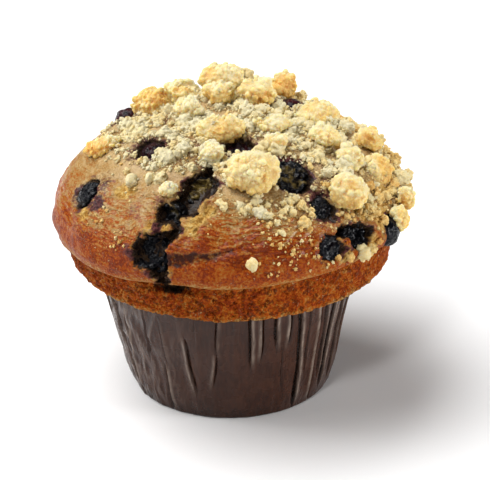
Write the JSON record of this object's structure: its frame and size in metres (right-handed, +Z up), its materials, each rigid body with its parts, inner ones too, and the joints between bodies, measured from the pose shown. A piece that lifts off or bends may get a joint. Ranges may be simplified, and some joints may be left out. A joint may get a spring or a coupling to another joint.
{
  "type": "muffin",
  "caption": "Large berry muffin with a crumble topping, its crown risen over the rim of a pleated brown paper case, standing on the case's flat base.",
  "frame": {"origin": "centre of the paper case's flat base, where the muffin stands", "axes": "+Z up through the crown; -Y towards the front, where the crack runs down between the burst berries"},
  "size_m": [0.0957, 0.0986, 0.0805],
  "materials": {
    "paper": "satin",
    "crust": "matte",
    "berry": "satin",
    "crumble": "matte"
  },
  "bodies": {
    "root": {"paper_case": "paper", "muffin": "crust", "berry_01": "berry", "berry_02": "berry", "berry_03": "berry", "berry_04": "berry", "berry_05": "berry", "berry_06": "berry", "berry_07": "berry", "berry_08": "berry", "berry_09": "berry", "berry_10": "berry", "berry_11": "berry", "berry_12": "berry", "berry_13": "berry", "berry_14": "berry", "berry_15": "berry", "berry_16": "berry", "berry_17": "berry", "crumble_01": "crumble", "crumble_02": "crumble", "crumble_03": "crumble", "crumble_04": "crumble", "crumble_05": "crumble", "crumble_06": "crumble", "crumble_07": "crumble", "crumble_08": "crumble", "crumble_09": "crumble", "crumble_10": "crumble", "crumble_11": "crumble", "crumble_12": "crumble", "crumble_13": "crumble", "crumble_14": "crumble", "crumble_15": "crumble", "crumble_16": "crumble", "crumble_17": "crumble", "crumble_18": "crumble", "crumble_19": "crumble", "crumble_20": "crumble", "crumble_21": "crumble", "crumble_22": "crumble", "crumble_23": "crumble", "crumble_24": "crumble", "crumble_25": "crumble", "crumble_26": "crumble", "crumble_27": "crumble"}
  },
  "joints": []
}
